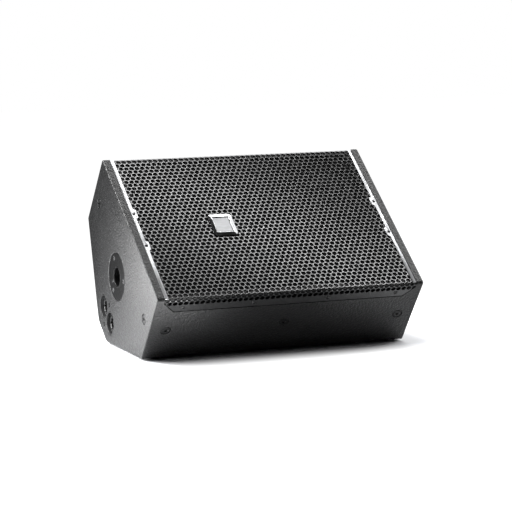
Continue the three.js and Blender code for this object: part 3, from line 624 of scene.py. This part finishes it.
# ---------------------------------------------------------------- painted cabinet
def end_panel(side):
    """One end panel, its outer arris rounded all the way round."""
    rings = [(0.0, INNER_HALF), (0.0, HALF_LENGTH - ARRIS)]
    steps = 8
    for k in range(1, steps + 1):
        angle = math.pi / 2 * k / steps
        inset = ARRIS * (1 - math.cos(angle))
        rings.append((inset, HALF_LENGTH - ARRIS * (1 - math.sin(angle))))
    bm = bmesh.new()
    points = [
        [(side * x, p.x, p.y) for corner in corner_points(OUTLINE, inset) for p in corner]
        for inset, x in rings
    ]
    name = "end_panel_left" if side < 0 else "end_panel_right"
    piece = new_piece(name + "_shell", clean(loft(bm, points)), PAINT)
    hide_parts(name)
    return piece


def inner_corner(i):
    """Corner i of the outline, moved inwards by the thickness of the plywood."""
    corner = Vector(OUTLINE[i][0])
    before = (Vector(OUTLINE[i - 1][0]) - corner).normalized()
    after = (Vector(OUTLINE[(i + 1) % len(OUTLINE)][0]) - corner).normalized()
    return corner + (before + after).normalized() * (PLY / math.sin(before.angle(after) / 2))


def panel_of_section(name, section):
    """Panel between the end panels, from its section in (u, n)."""
    rings = [[(x, p.x, p.y) for p in section] for x in (-INNER_HALF, INNER_HALF)]
    piece = new_piece(name + "_shell", clean(loft(bmesh.new(), rings)), PAINT)
    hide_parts(name)
    return piece


def wall(name, first):
    """Wall of the outline from corner first to the next one, mitred inside to its neighbours."""
    corners = corner_points(OUTLINE)
    half = len(corners[0]) // 2
    panel_of_section(name, [inner_corner(first), *corners[first][half:],
                            *corners[first + 1][:half + 1], inner_corner(first + 1)])


def side_wall(name, side):
    """Side wall whose square front edge lies under the grille."""
    corners = corner_points(OUTLINE)
    index = 2 if side < 0 else 5
    half = len(corners[0]) // 2
    arc = corners[index][:half + 1] if side < 0 else corners[index][half:][::-1]
    piece = panel_of_section(name, [
        Vector((side * (HALF_FACE - PLY), -SEAT)), Vector((side * HALF_FACE, -SEAT)),
        *arc, inner_corner(index)])
    cutters = [(flange_pocket(), on_side(side, 0, 0)), (hole_slot(), on_side(side, 0, 0))]
    cutters += [(mouth(M10_RADIUS + M10_GAP, 4), on_side(side, x, depth)) for x, depth in SIDE_M10]
    carve(piece, cutters)


def flange_pocket():
    """Cutter for the pocket that takes a grille flange, drawn in x and n."""
    half = GRILLE_HALF + POCKET_MARGIN
    bottom = FLANGE + POCKET_MARGIN
    corner = FLANGE_CORNER + POCKET_MARGIN * math.tan(math.pi / 8)
    run = bottom - corner
    top = 5
    outline = [(-half, top), (-half, -corner), (-half + run, -bottom),
               (half - run, -bottom), (half, -corner), (half, top)]
    return loft(bmesh.new(), [[(x, y, z) for x, y in outline] for z in (-POCKET, 4)])


def hole_slot():
    """Cutter for the dark hollow behind a flange's row of holes."""
    near, far, depth = HOLE_SLOT
    half = GRILLE_HALF * HOLE_SLOT_REACH
    outline = [(-half, -near), (-half, -far), (half, -far), (half, -near)]
    return loft(bmesh.new(), [[(x, y, z) for x, y in outline] for z in (-depth, 4)])


def cabinet():
    """The seven painted panels, with the openings of all that is fixed to them."""
    left = end_panel(-1)
    cutters = [
        (mouth(POLE_PLATE + 0.9, POLE_PLATE_SINK, 1.4, 96), on_end(-1, POLE.y, -POLE.z)),
        (turned([(0, 2), (POLE_HOLE, 2), (POLE_HOLE, -20), (0, -20)]),
         on_end(-1, POLE.y, -POLE.z)),
    ]
    for place in SOCKETS:
        cutters.append((mouth(SOCKET_OPENING, PLY + 5, 1.6, 96), on_end(-1, place.y, -place.z)))
    for place in DISH_SCREWS:
        cutters.append((mouth(DISH_SCREW_HOLE, 3, 0.6, 32), on_end(-1, place.y, -place.z)))
    for u, depth in END_M10:
        cutters.append((mouth(M10_RADIUS + M10_GAP, 4), on_end(-1, u, depth)))
    carve(left, cutters)

    right = end_panel(1)
    cutters = []
    for margin, radius, depth in HANDLE_CUTS:
        shape = rounded_rectangle(HANDLE_SIZE[0] + margin, HANDLE_SIZE[1] + margin, radius)
        bm = loft(bmesh.new(), [[(y, x, z) for x, y in shape] for z in (-depth, 3)])
        cutters.append((bm, on_end(1, HANDLE.y, -HANDLE.z)))
    for u, depth in END_M10:
        cutters.append((mouth(M10_RADIUS + M10_GAP, 4), on_end(1, u, depth)))
    carve(right, cutters)

    side_wall("lower_side_panel", -1)
    side_wall("upper_side_panel", 1)
    wall("floor_panel", 2)
    wall("back_panel", 3)
    wall("rear_panel", 4)


# ---------------------------------------------------------------- grille
def sheet_path(s, radius):
    """(u, n) of the bent sheet's skin at distance s along it, up from the middle of the face."""
    flat = HALF_FACE - radius
    run = abs(s) - flat
    if run <= 0:
        return s, 0.0
    angle = min(run / radius, math.pi / 2)
    u = flat + radius * math.sin(angle)
    n = -radius + radius * math.cos(angle) - max(0.0, run - radius * math.pi / 2)
    return math.copysign(u, s), n


def perforated_sheet():
    """Flat sheet in (x, s): hexagonal cells round each hole, then plain strips above and below."""
    bm = bmesh.new()

    def vert(x, s):
        return bm.verts.new((x, s, 0))

    sides = 12
    tall = PITCH / math.sqrt(3)
    first = -math.ceil(GRILLE_HALF / PITCH) - 1
    for row in range(ROWS):
        s = TOP_ROW - row * ROW
        shift = ROW_PHASE + (PITCH / 2 if row % 2 else 0)
        for column in range(first, -first + 1):
            x = column * PITCH + shift
            if abs(x) > GRILLE_HALF + PITCH / 2:
                continue
            corners = [vert(x + tall * math.cos(math.radians(30 + 60 * k)),
                            s + tall * math.sin(math.radians(30 + 60 * k))) for k in range(6)]
            ring = [vert(x + HOLE * math.cos(2 * math.pi * k / sides),
                         s + HOLE * math.sin(2 * math.pi * k / sides)) for k in range(sides)]
            for k in range(6):
                here, there = corners[k], corners[(k + 1) % 6]
                a, b, c = (ring[(2 * k + 1 + j) % sides] for j in range(3))
                bm.faces.new((here, there, c, b))
                bm.faces.new((here, b, a))
            for edge, sign, rows in ((0, 1, TOP_STRIPS), (ROWS - 1, -1, BOTTOM_STRIPS)):
                if row != edge:
                    continue
                xs = [x - PITCH / 2, x, x + PITCH / 2]
                zigzag = [vert(xs[0], s + sign * tall / 2), vert(xs[1], s + sign * tall),
                          vert(xs[2], s + sign * tall / 2)]
                for level in rows:
                    line = [vert(px, level) for px in xs]
                    for k in (0, 1):
                        bm.faces.new((zigzag[k], zigzag[k + 1], line[k + 1], line[k]))
                    zigzag = line
    return clean(bm)


def trim(bm, point, normal):
    """Cuts away all that lies beyond a plane."""
    geometry = bm.verts[:] + bm.edges[:] + bm.faces[:]
    bmesh.ops.bisect_plane(bm, geom=geometry, plane_co=point, plane_no=normal, clear_outer=True,
                           dist=1e-4)


def grille():
    """Perforated sheet, trimmed flat, bent over the side walls and thickened."""
    bm = perforated_sheet()
    for k in range(7):    # creases along the lower bend, which runs through a row of holes
        s = -(LOWER_FLAT + (LOWER_END - LOWER_FLAT) * k / 6)
        near = [f for f in bm.faces if abs(f.calc_center_median().y - s) < 2 * PITCH]
        edges = list({e for f in near for e in f.edges})
        verts = list({v for f in near for v in f.verts})
        bmesh.ops.bisect_plane(bm, geom=verts + edges + near, plane_co=(0, s, 0),
                               plane_no=(0, 1, 0), dist=1e-4)
    trim(bm, (GRILLE_HALF, 0, 0), (1, 0, 0))
    trim(bm, (-GRILLE_HALF, 0, 0), (-1, 0, 0))
    for sign, end, bend in ((1, TOP_END, TOP_BEND), (-1, LOWER_END, LOWER_BEND)):
        corner = sign * (end + FLANGE_CORNER - bend)
        for side in (-1, 1):
            trim(bm, (side * GRILLE_HALF, corner, 0), (side, sign, 0))
    for v in bm.verts:
        radius = TOP_BEND if v.co.y > 0 else LOWER_BEND
        u, n = sheet_path(v.co.y, radius)
        v.co = (v.co.x, u, n)
    bmesh.ops.recalc_face_normals(bm, faces=bm.faces)
    middle_face = min(bm.faces, key=lambda f: f.calc_center_median().length)
    if middle_face.normal.z < 0:
        bmesh.ops.reverse_faces(bm, faces=bm.faces)
    bm.transform(CABINET @ Matrix.Diagonal((MM, MM, MM, 1)))
    piece = plain_piece("grille_perforated", bm, GRILLE_COAT)
    # the rim of the thickened sheet, that is the hole walls, takes the painted shade
    piece.data.materials.append(HOLE_WALL_SHADE)
    solid = piece.modifiers.new("sheet", "SOLIDIFY")
    solid.thickness = SHEET * MM
    solid.offset = -1
    solid.use_even_offset = True
    solid.material_offset_rim = 1
    smooth = piece.modifiers.new("smooth", "NODES")
    smooth.node_group = smooth_group(35)
    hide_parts("grille")


def grille_foam():
    """Thin foam behind the steel: wavy, with rounded edges."""
    half_x = span("grille_foam", ALONG)[1]
    top = span("grille_foam", UP_SLOPE)[1] - FACE_MIDDLE
    back = span("grille_foam", OUT)[0] - FACE_LEVEL
    bm = bmesh.new()
    bmesh.ops.create_grid(bm, x_segments=100, y_segments=76, size=1)
    for v in bm.verts:
        x, u = v.co.x * half_x, v.co.y * top
        wave = FOAM_WAVE * (math.sin(x / 37) * math.cos(u / 29) + math.sin(x / 13 + u / 17))
        past_edge = max(0.0, 1 - min(half_x - abs(x), top - abs(u)) / FOAM_EDGE[0])
        v.co = (x, u, FOAM_FRONT + wave - FOAM_EDGE[1] * past_edge ** 2)
    lower = bmesh.ops.extrude_face_region(bm, geom=bm.faces[:])
    for v in (g for g in lower["geom"] if isinstance(g, bmesh.types.BMVert)):
        v.co.z = back
    piece = new_piece("grille_foam_sheet", bm, FOAM, smooth=60)
    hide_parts("grille_foam")


# ---------------------------------------------------------------- fasteners
def recess(size, depth):
    """Cutter for a cross recess with tapering arms."""
    bm = bmesh.new()
    for turn in (0, math.pi / 2):
        rings = []
        for length, width, z in ((0.35, 0.22, -depth), (1.0, 0.32, 0.0), (1.3, 0.4, 1.0)):
            a, b = size * length, size * width
            points = [(-a, -b), (a, -b), (a, b), (-a, b)]
            rings.append([(x * math.cos(turn) - y * math.sin(turn),
                           x * math.sin(turn) + y * math.cos(turn), z) for x, y in points])
        loft(bm, rings)
    return bm


def hex_cutter(radius, depth):
    """Cutter for a hexagon socket."""
    points = [(radius * math.cos(math.radians(60 * k)), radius * math.sin(math.radians(60 * k)))
              for k in range(6)]
    return loft(bmesh.new(), [[(x, y, z) for x, y in points] for z in (-depth, 3)])


def screw(name, profile, world, cutter, *nodes, material=BLACK_STEEL, slot="black_steel"):
    """Turned screw with its drive cut into the end of the profile, in place of CAD nodes if named."""
    piece = new_piece(name, turned(profile, 32), material, world)
    carve(piece, [(cutter, world @ Matrix.Translation((0, 0, profile[-1][1] * MM)))])
    if nodes:
        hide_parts(*nodes)


def pan_head(radius, height):
    """Profile of a pan head screw that stands height above its seat."""
    crown = [(radius * math.cos(math.radians(a)), height * math.sin(math.radians(a)))
             for a in (20, 40, 60, 75)]
    return [(0, -8), (radius * 0.5, -8), (radius * 0.5, 0), (radius, 0), *crown, (0, height)]


def flat_head(radius, level):
    """Profile of a countersunk screw whose head lies at level."""
    return [(0, -14), (radius * 0.45, -14), (radius * 0.45, level - radius * 0.6),
            (radius, level - 0.3), (radius - 0.3, level), (0, level)]


def fasteners():
    """Every screw that shows, and the plugs of the suspension points."""
    for i in (1, 2, 3, 4):
        node = f"rail_screw_{i}"
        place = local(node)
        world = on_face(place.x, place.y, 1.4)
        screw(node + "_head", pan_head(3.1, 1.0), world, recess(1.5, 1.0), node)
    for row, side in (("lower", -1), ("upper", 1)):
        for i, x in enumerate(FLANGE_SCREWS):
            world = on_side(side, x, FLANGE_SCREW_DEPTH, 0.05)
            screw(f"flange_screw_{row}_{i + 1}", pan_head(4.2, 1.6), world, recess(2.0, 1.6))
    for i, place in enumerate(POLE_SCREWS):
        node = f"pole_socket_screw_{i + 1}"
        world = on_end(-1, place.y, -place.z)
        screw(node + "_head", flat_head(4.3, -0.95), world, recess(2.3, 1.8), node,
              slot="zinc_steel")
    for i, place in enumerate(DISH_SCREWS):
        node = f"input_dish_screw_{i + 1}"
        world = on_end(-1, place.y, -place.z, -3.0)
        screw(node + "_head", pan_head(3.8, 2.0), world, recess(1.9, 1.6), node)
    rim = span("handle_cup", ALONG)[1] - HALF_LENGTH
    for i, (du, dn) in enumerate(((-1, -1), (1, -1), (1, 1), (-1, 1))):
        u, depth = HANDLE.y + du * HANDLE_SCREW[0], -HANDLE.z + dn * HANDLE_SCREW[1]
        screw(f"handle_screw_{i + 1}", pan_head(3.4, 1.1), on_end(1, u, depth, rim),
              recess(1.7, 1.1))
    plug = [(0, -26), (4.9, -26), (4.9, -3.6), (M10_RADIUS, -3.6),
            *arc_points((M10_RADIUS - 1.6, -1.9), 1.6, 0, 70, 4), (3.9, -0.5), (0, -0.5)]
    for label, on_wall, side, places in (
            ("left", on_end, -1, END_M10), ("front", on_side, -1, SIDE_M10),
            ("upper", on_side, 1, SIDE_M10), ("right", on_end, 1, END_M10)):
        for i, place in enumerate(places):
            node = f"m10_screw_{label}_{i + 1}"
            owned = [node] if node in frame["nodes"] else []
            screw(node + "_plug", plug, on_wall(side, *place), hex_cutter(3.6, 5), *owned)


# ---------------------------------------------------------------- badge
def badge():
    """The square badge that turns on the grille, with its nut behind the sheet."""
    for node, material, width in (("badge_bezel", BEZEL, 0.25), ("badge_plate", BADGE_METAL, 0.4),
                                  ("badge_nut", ZINC, 0.3)):
        dress(node, material, width, 10)


# ---------------------------------------------------------------- connector end
def pole_socket():
    """Round steel flange let into the end panel, with the tube for the stand pole."""
    world = on_end(-1, POLE.y, -POLE.z)
    inner, tube = POLE_BORE, POLE_BORE + 3
    end = -POLE_DEPTH
    top = -0.8
    profile = [(0, end - 3), (tube, end - 3), (tube, -5), (tube + 1.5, -3.0), (POLE_PLATE, -3.0),
               *arc_points((POLE_PLATE - 0.9, top - 0.9), 0.9, 0, 90, 4), (42, top), (27, top),
               *arc_points((inner + 4.5, top - 0.2), 0.2, 90, 180, 2),
               *arc_points((inner + 2.4, top - 2.0), 2.4, 60, 180, 8), (inner, end), (0, end)]
    # turned a little, so that no edge of the ring meets the edge of a screw's sink
    off_screws = Matrix.Rotation(math.radians(1.3), 4, "Z")
    piece = new_piece("pole_socket_flange", turned(profile, 96), SOCKET_STEEL,
                      world @ off_screws)
    sink = [(0, 1), (5.6, 1), (5.0, top + 0.1), (2.4, top - 2.6), (2.4, -6), (0, -6)]
    carve(piece, [(turned(sink, 32), on_end(-1, place.y, -place.z)) for place in POLE_SCREWS])
    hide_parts("pole_socket")


def input_dish():
    """Two round cups through the end panel, joined behind it by a bar."""
    inner = -PLY - 0.3
    outer = SOCKET_OPENING - 0.4
    for i, place in enumerate(SOCKETS):
        world = on_end(-1, place.y, -place.z)
        profile = [(17.5, inner - 2.2), (outer + 1.6, inner - 2.2), (outer + 1.6, inner),
                   (outer, inner), *arc_points((outer - 1.3, -1.9), 1.3, 0, 180, 8),
                   (outer - 2.7, -7.4), *arc_points((outer - 4.2, -7.6), 1.5, 0, -90, 4),
                   (17.5, -9.1)]
        cup = new_piece(f"input_dish_cup_{i + 1}", turned(profile, 96), PLASTIC,
                        world)
        if i == 0:    # the dish is one CAD node
            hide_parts("input_dish")
        socket(i, world)
    bar_place = (SOCKETS[0] + SOCKETS[1]) / 2
    shape = rounded_rectangle(66, 18, 4)
    bar = loft(bmesh.new(), [[(y, x, z) for x, y in shape] for z in (inner - 2.4, inner)])
    bmesh.ops.rotate(bar, verts=bar.verts, matrix=Matrix.Rotation(math.pi / 2, 3, "Z"))
    new_piece("input_dish_bar", bar, PLASTIC,
              on_end(-1, bar_place.y, -bar_place.z))


def socket(i, world):
    """Round locking loudspeaker socket: a ring with keyways round a central contact post."""
    shell = [(0, -34), (13.0, -34), (13.0, -8.8), (16.8, -8.8),
             *arc_points((16.1, -7.0), 0.7, 0, 90, 3), *arc_points((13.2, -6.0), 0.5, 90, 180, 3),
             (12.4, -6.4), *arc_points((11.9, -6.4), 0.5, 0, 90, 3), (11.2, -6.6), (11.2, -22),
             (7.6, -22), *arc_points((6.8, -9.8), 0.8, 0, 90, 3), (3.0, -9.0), (2.6, -13), (0, -13)]
    piece = new_piece(f"speaker_socket_shell_{i + 1}", turned(shell, 72), SOFT_PLASTIC,
                      world)
    cutters = []
    for k in range(4):
        angle = math.radians(45 + 90 * k)
        block = bmesh.new()
        bmesh.ops.create_cube(block, size=1)
        bmesh.ops.scale(block, verts=block.verts, vec=(2.6, 3.2, 9))
        keyway = Matrix.Rotation(angle, 4, "Z") @ Matrix.Translation((11.7 * MM, 0, -9 * MM))
        cutters.append((block, world @ keyway))
    carve(piece, cutters)
    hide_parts(f"speaker_socket_{i + 1}")
    for k in (0, 1):
        place = Matrix.Translation((0, (14.9 if k else -14.9) * MM, -7.3 * MM))
        screw(f"socket_screw_{i + 1}_{k + 1}", pan_head(1.5, 0.8), world @ place,
              recess(0.7, 0.6), material=ZINC, slot="zinc_steel")


# ---------------------------------------------------------------- CAD nodes that stay
def dress(node, material, bevel, angle=32):
    """Gives a CAD node its material and softened, smoothly shaded edges."""
    piece = frame["nodes"][node]
    piece.data.materials.clear()
    piece.data.materials.append(material)
    piece.modifiers.clear()
    weld = piece.modifiers.new("weld", "WELD")
    weld.merge_threshold = 0.02 * MM
    flat = piece.modifiers.new("planar", "DECIMATE")
    flat.decimate_type = "DISSOLVE"
    flat.angle_limit = math.radians(1)
    if bevel:
        soft = piece.modifiers.new("soft edges", "BEVEL")
        soft.width = bevel * MM
        soft.segments = 2
        soft.limit_method = "ANGLE"
        soft.angle_limit = math.radians(angle)
    smooth = piece.modifiers.new("smooth", "NODES")
    smooth.node_group = smooth_group(angle)


def smooth_group(angle):
    """Geometry nodes that shade smooth and keep edges over the angle sharp."""
    name = f"smooth_{angle}"
    if name in bpy.data.node_groups:
        return bpy.data.node_groups[name]
    group = bpy.data.node_groups.new(name, "GeometryNodeTree")
    group.interface.new_socket("Geometry", in_out="INPUT", socket_type="NodeSocketGeometry")
    group.interface.new_socket("Geometry", in_out="OUTPUT", socket_type="NodeSocketGeometry")
    start = group.nodes.new("NodeGroupInput")
    end = group.nodes.new("NodeGroupOutput")
    faces = group.nodes.new("GeometryNodeSetShadeSmooth")
    edges = group.nodes.new("GeometryNodeSetShadeSmooth")
    edges.domain = "EDGE"
    bend = group.nodes.new("GeometryNodeInputMeshEdgeAngle")
    gentle = group.nodes.new("FunctionNodeCompare")
    gentle.operation = "LESS_THAN"
    gentle.inputs[1].default_value = math.radians(angle)
    link = group.links.new
    link(start.outputs[0], faces.inputs["Geometry"])
    link(faces.outputs["Geometry"], edges.inputs["Geometry"])
    link(bend.outputs["Unsigned Angle"], gentle.inputs[0])
    link(gentle.outputs["Result"], edges.inputs["Shade Smooth"])
    link(edges.outputs["Geometry"], end.inputs[0])
    return group


def rest_of_the_frame():
    """The CAD nodes that keep their shape, with their materials and bevels in millimetres."""
    dressed = {
        "baffle_board": (BLACK_PAINT, 0.8), "grille_batten_left": (BLACK_PAINT, 0.6),
        "grille_batten_right": (BLACK_PAINT, 0.6),
        "grille_rail_left": (RAIL_METAL, 0.3), "grille_rail_right": (RAIL_METAL, 0.3),
        "handle_cup": (PLASTIC, 1.0), "handle_bar": (RUBBER, 0.0),
        "woofer_basket": (BASKET, 0.7), "woofer_surround": (RUBBER, 0.0),
        "woofer_cone": (PAPER, 0.0), "woofer_dust_cap": (PAPER, 0.0),
        "woofer_voice_coil": (COPPER, 0.0), "woofer_spider": (PAPER, 0.0),
        "woofer_top_plate": (ZINC, 0.6), "woofer_magnet": (FERRITE, 1.2),
        "woofer_yoke": (ZINC, 0.8), "horn": (PLASTIC, 0.8),
        "compression_driver": (BLACK_STEEL, 0.8), "driver_diaphragm": (CHROME, 0.0),
        "driver_rear_cap": (PLASTIC, 0.8), "port_tube_1": (PLASTIC, 0.5),
        "port_tube_2": (PLASTIC, 0.5), "crossover_board": (BOARD, 0.3),
        "crossover_inductor": (COPPER, 0.5), "crossover_capacitor": (PLASTIC, 0.8),
        **{f"rubber_foot_{i}": (RUBBER, 0.6) for i in (1, 2, 3, 4)},
    }
    for node, (material, bevel) in dressed.items():
        dress(node, material, bevel)


def damping_pad():
    """Wadding: a puffed, uneven pad in place of its plain CAD block."""
    node = frame["nodes"]["damping_pad"]
    bm = bmesh.new()
    bm.from_mesh(node.data)
    bmesh.ops.remove_doubles(bm, verts=bm.verts, dist=1e-6)
    piece = plain_piece("wadding_pad", bm, WADDING)
    voxel = piece.modifiers.new("remesh", "REMESH")
    voxel.mode = "VOXEL"
    voxel.voxel_size = 5 * MM
    voxel.use_smooth_shade = True
    soft = piece.modifiers.new("soft", "SMOOTH")
    soft.factor = 0.9
    soft.iterations = 8
    lumps = bpy.data.textures.new("lumps", "CLOUDS")
    lumps.noise_scale = 0.035
    puff = piece.modifiers.new("lumps", "DISPLACE")
    puff.texture = lumps
    puff.texture_coords = "LOCAL"
    puff.strength = 5 * MM
    puff.mid_level = 0.8
    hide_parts("damping_pad")


# ---------------------------------------------------------------- studio
def camera():
    """Long lens from the front and the left, a little above the cabinet."""
    yaw, pitch = math.radians(CAMERA_YAW), math.radians(CAMERA_PITCH)
    ahead = Vector((math.sin(yaw) * math.cos(pitch), math.cos(yaw) * math.cos(pitch),
                    math.sin(pitch)))
    right = ahead.cross(Vector((0, 0, 1))).normalized()
    up = right.cross(ahead)
    basis = Matrix((right, up, -ahead)).transposed().to_4x4()
    roll = Matrix.Rotation(math.radians(CAMERA_ROLL), 4, "Z")
    edge = at(0, -HALF_FACE, -SIDE_DEPTH)
    data = bpy.data.cameras.new("camera")
    data.lens = CAMERA_LENS
    view = bpy.data.objects.new("camera", data)
    view.matrix_world = Matrix.Translation(edge + CAMERA_OFFSET) @ basis @ roll
    scene.collection.objects.link(view)
    scene.camera = view


def pale_floor():
    """Material that shades softly round the cabinet and fades into the white surroundings."""
    t = Tree("pale_floor")
    distance = t.distance_from_box((HALF_LENGTH * MM, FOOTPRINT * MM, 1.0))
    fade = t.remap(distance, *FLOOR_WHITE)
    seen = t.nodes.new("ShaderNodeLightPath").outputs["Is Camera Ray"]
    tone = t.mix(t.remap(distance, *FLOOR_DARK), grey(0.86), grey(0.12))
    return t.finish(Base_Color=tone, Roughness=0.9, Specular_IOR_Level=0.1,
                    Emission_Color=(1, 1, 1), Emission_Strength=t.math("MULTIPLY", fade, seen))


def floor():
    mesh = bpy.data.meshes.new("floor")
    far = FLOOR_HALF
    mesh.from_pydata([(-far, -far, 0), (far, -far, 0), (far, far, 0), (-far, far, 0)],
                     [], [(0, 1, 2, 3)])
    ground = bpy.data.objects.new("floor", mesh)
    scene.collection.objects.link(ground)
    mesh.materials.append(pale_floor())


def surroundings():
    """White for the camera, nearly dark as a light."""
    world = bpy.data.worlds.new("studio")
    scene.world = world
    world.use_nodes = True
    nodes, links = world.node_tree.nodes, world.node_tree.links
    path = nodes.new("ShaderNodeLightPath")
    strength = nodes.new("ShaderNodeMapRange")
    links.new(path.outputs["Is Camera Ray"], strength.inputs["Value"])
    strength.inputs["To Min"].default_value = WORLD_LIGHT
    strength.inputs["To Max"].default_value = 1.0
    links.new(strength.outputs["Result"], nodes["Background"].inputs["Strength"])
    nodes["Background"].inputs["Color"].default_value = (1, 1, 1, 1)


def lamps():
    for name, place, target, along, size, power in LIGHTS:
        lamp = bpy.data.lights.new(name, "AREA")
        lamp.shape = "RECTANGLE"
        lamp.size, lamp.size_y = size
        lamp.energy = power
        light = bpy.data.objects.new(name, lamp)
        out = (Vector(place) - Vector(target)).normalized()
        light.matrix_world = facing(Vector(place), out, out.cross(Vector(along)))
        light.visible_camera = False
        scene.collection.objects.link(light)


cabinet()
grille()
grille_foam()
fasteners()
badge()
pole_socket()
input_dish()
rest_of_the_frame()
damping_pad()

scene.view_settings.view_transform = "Standard"
scene.view_settings.look = "None"
camera()
floor()
surroundings()
lamps()
